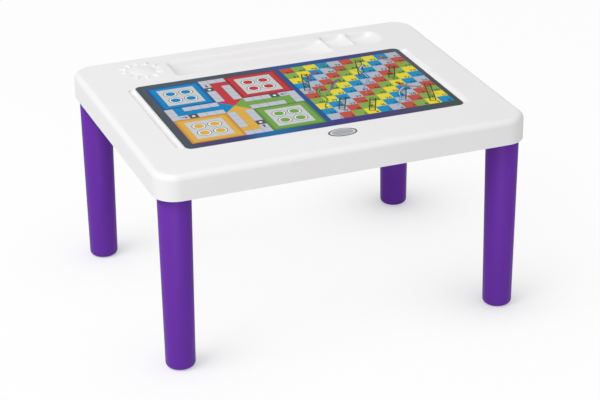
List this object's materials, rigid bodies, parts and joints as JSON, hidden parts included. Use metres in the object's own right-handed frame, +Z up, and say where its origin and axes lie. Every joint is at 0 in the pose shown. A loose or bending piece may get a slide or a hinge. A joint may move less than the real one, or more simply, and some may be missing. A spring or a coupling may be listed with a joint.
{
  "type": "activity table",
  "caption": "Low moulded activity table with rounded skirt, pencil tray, small dishes, lift-out game board and round tapered push-on legs.",
  "frame": {"origin": "on the floor, below the middle of the table top", "axes": "+X along the table top to the right, +Y to the back, where the pencil tray is, +Z up"},
  "size_m": [0.73, 0.58, 0.404],
  "materials": {
    "white_plastic": "glossy white moulding",
    "purple_plastic": "satin gloss purple moulding",
    "board_plastic": "smooth white sheet",
    "printed_film": "gloss film printed in several colours",
    "badge_grey": "silver grey with a dark rim"
  },
  "bodies": {
    "table": {"table_top": "white_plastic", "badge": "badge_grey"},
    "board": {"game_board": "board_plastic", "game_sheet": "printed_film"},
    "leg_front_left": {"leg_front_left": "purple_plastic"},
    "leg_front_right": {"leg_front_right": "purple_plastic"},
    "leg_back_left": {"leg_back_left": "purple_plastic"},
    "leg_back_right": {"leg_back_right": "purple_plastic"}
  },
  "joints": [
    {"name": "board_lift", "type": "slide", "parent": "table", "child": "board", "axis": [0, 0, 1], "range_m": [0, 0.06]},
    {"name": "leg_front_left_pull", "type": "slide", "parent": "table", "child": "leg_front_left", "axis": [0, 0, -1], "range_m": [0, 0.05]},
    {"name": "leg_front_right_pull", "type": "slide", "parent": "table", "child": "leg_front_right", "axis": [0, 0, -1], "range_m": [0, 0.05]},
    {"name": "leg_back_left_pull", "type": "slide", "parent": "table", "child": "leg_back_left", "axis": [0, 0, -1], "range_m": [0, 0.05]},
    {"name": "leg_back_right_pull", "type": "slide", "parent": "table", "child": "leg_back_right", "axis": [0, 0, -1], "range_m": [0, 0.05]}
  ]
}
